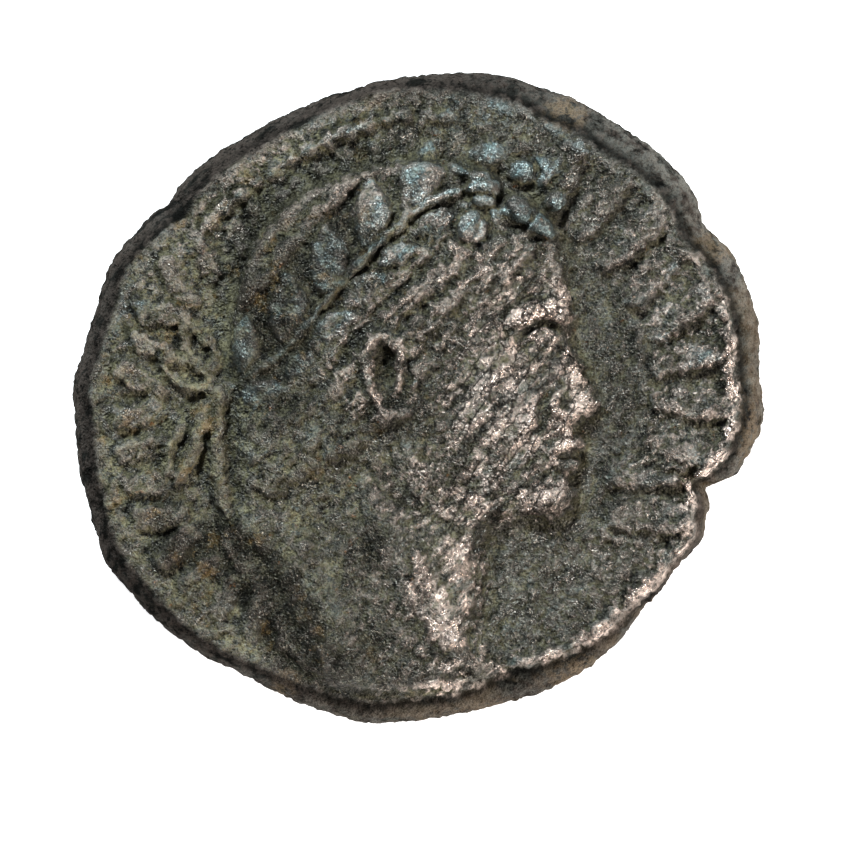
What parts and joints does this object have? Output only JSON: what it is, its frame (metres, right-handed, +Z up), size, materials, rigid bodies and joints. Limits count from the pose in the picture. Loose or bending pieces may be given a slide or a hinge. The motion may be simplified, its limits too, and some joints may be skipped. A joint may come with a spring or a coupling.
{
  "type": "ancient bronze coin",
  "caption": "Worn struck bronze coin on a thick, crack-notched flan: wreathed head in profile inside a border of strokes, tied wreath on the reverse",
  "frame": {"origin": "middle of the coin's bounding box in X and Y, at the level of the worn rim of the reverse that it lies on", "axes": "+Z is up, out of the obverse; +X runs to the right of the obverse, the way the head looks; +Y runs to its crown"},
  "size_m": [0.024, 0.0227, 0.0037],
  "materials": {
    "coin": "dark green-black patinated bronze, worn and corroded, with copper glints on the high spots and earthy deposits in the hollows"
  },
  "bodies": {
    "root": {"coin": "coin"}
  },
  "joints": []
}
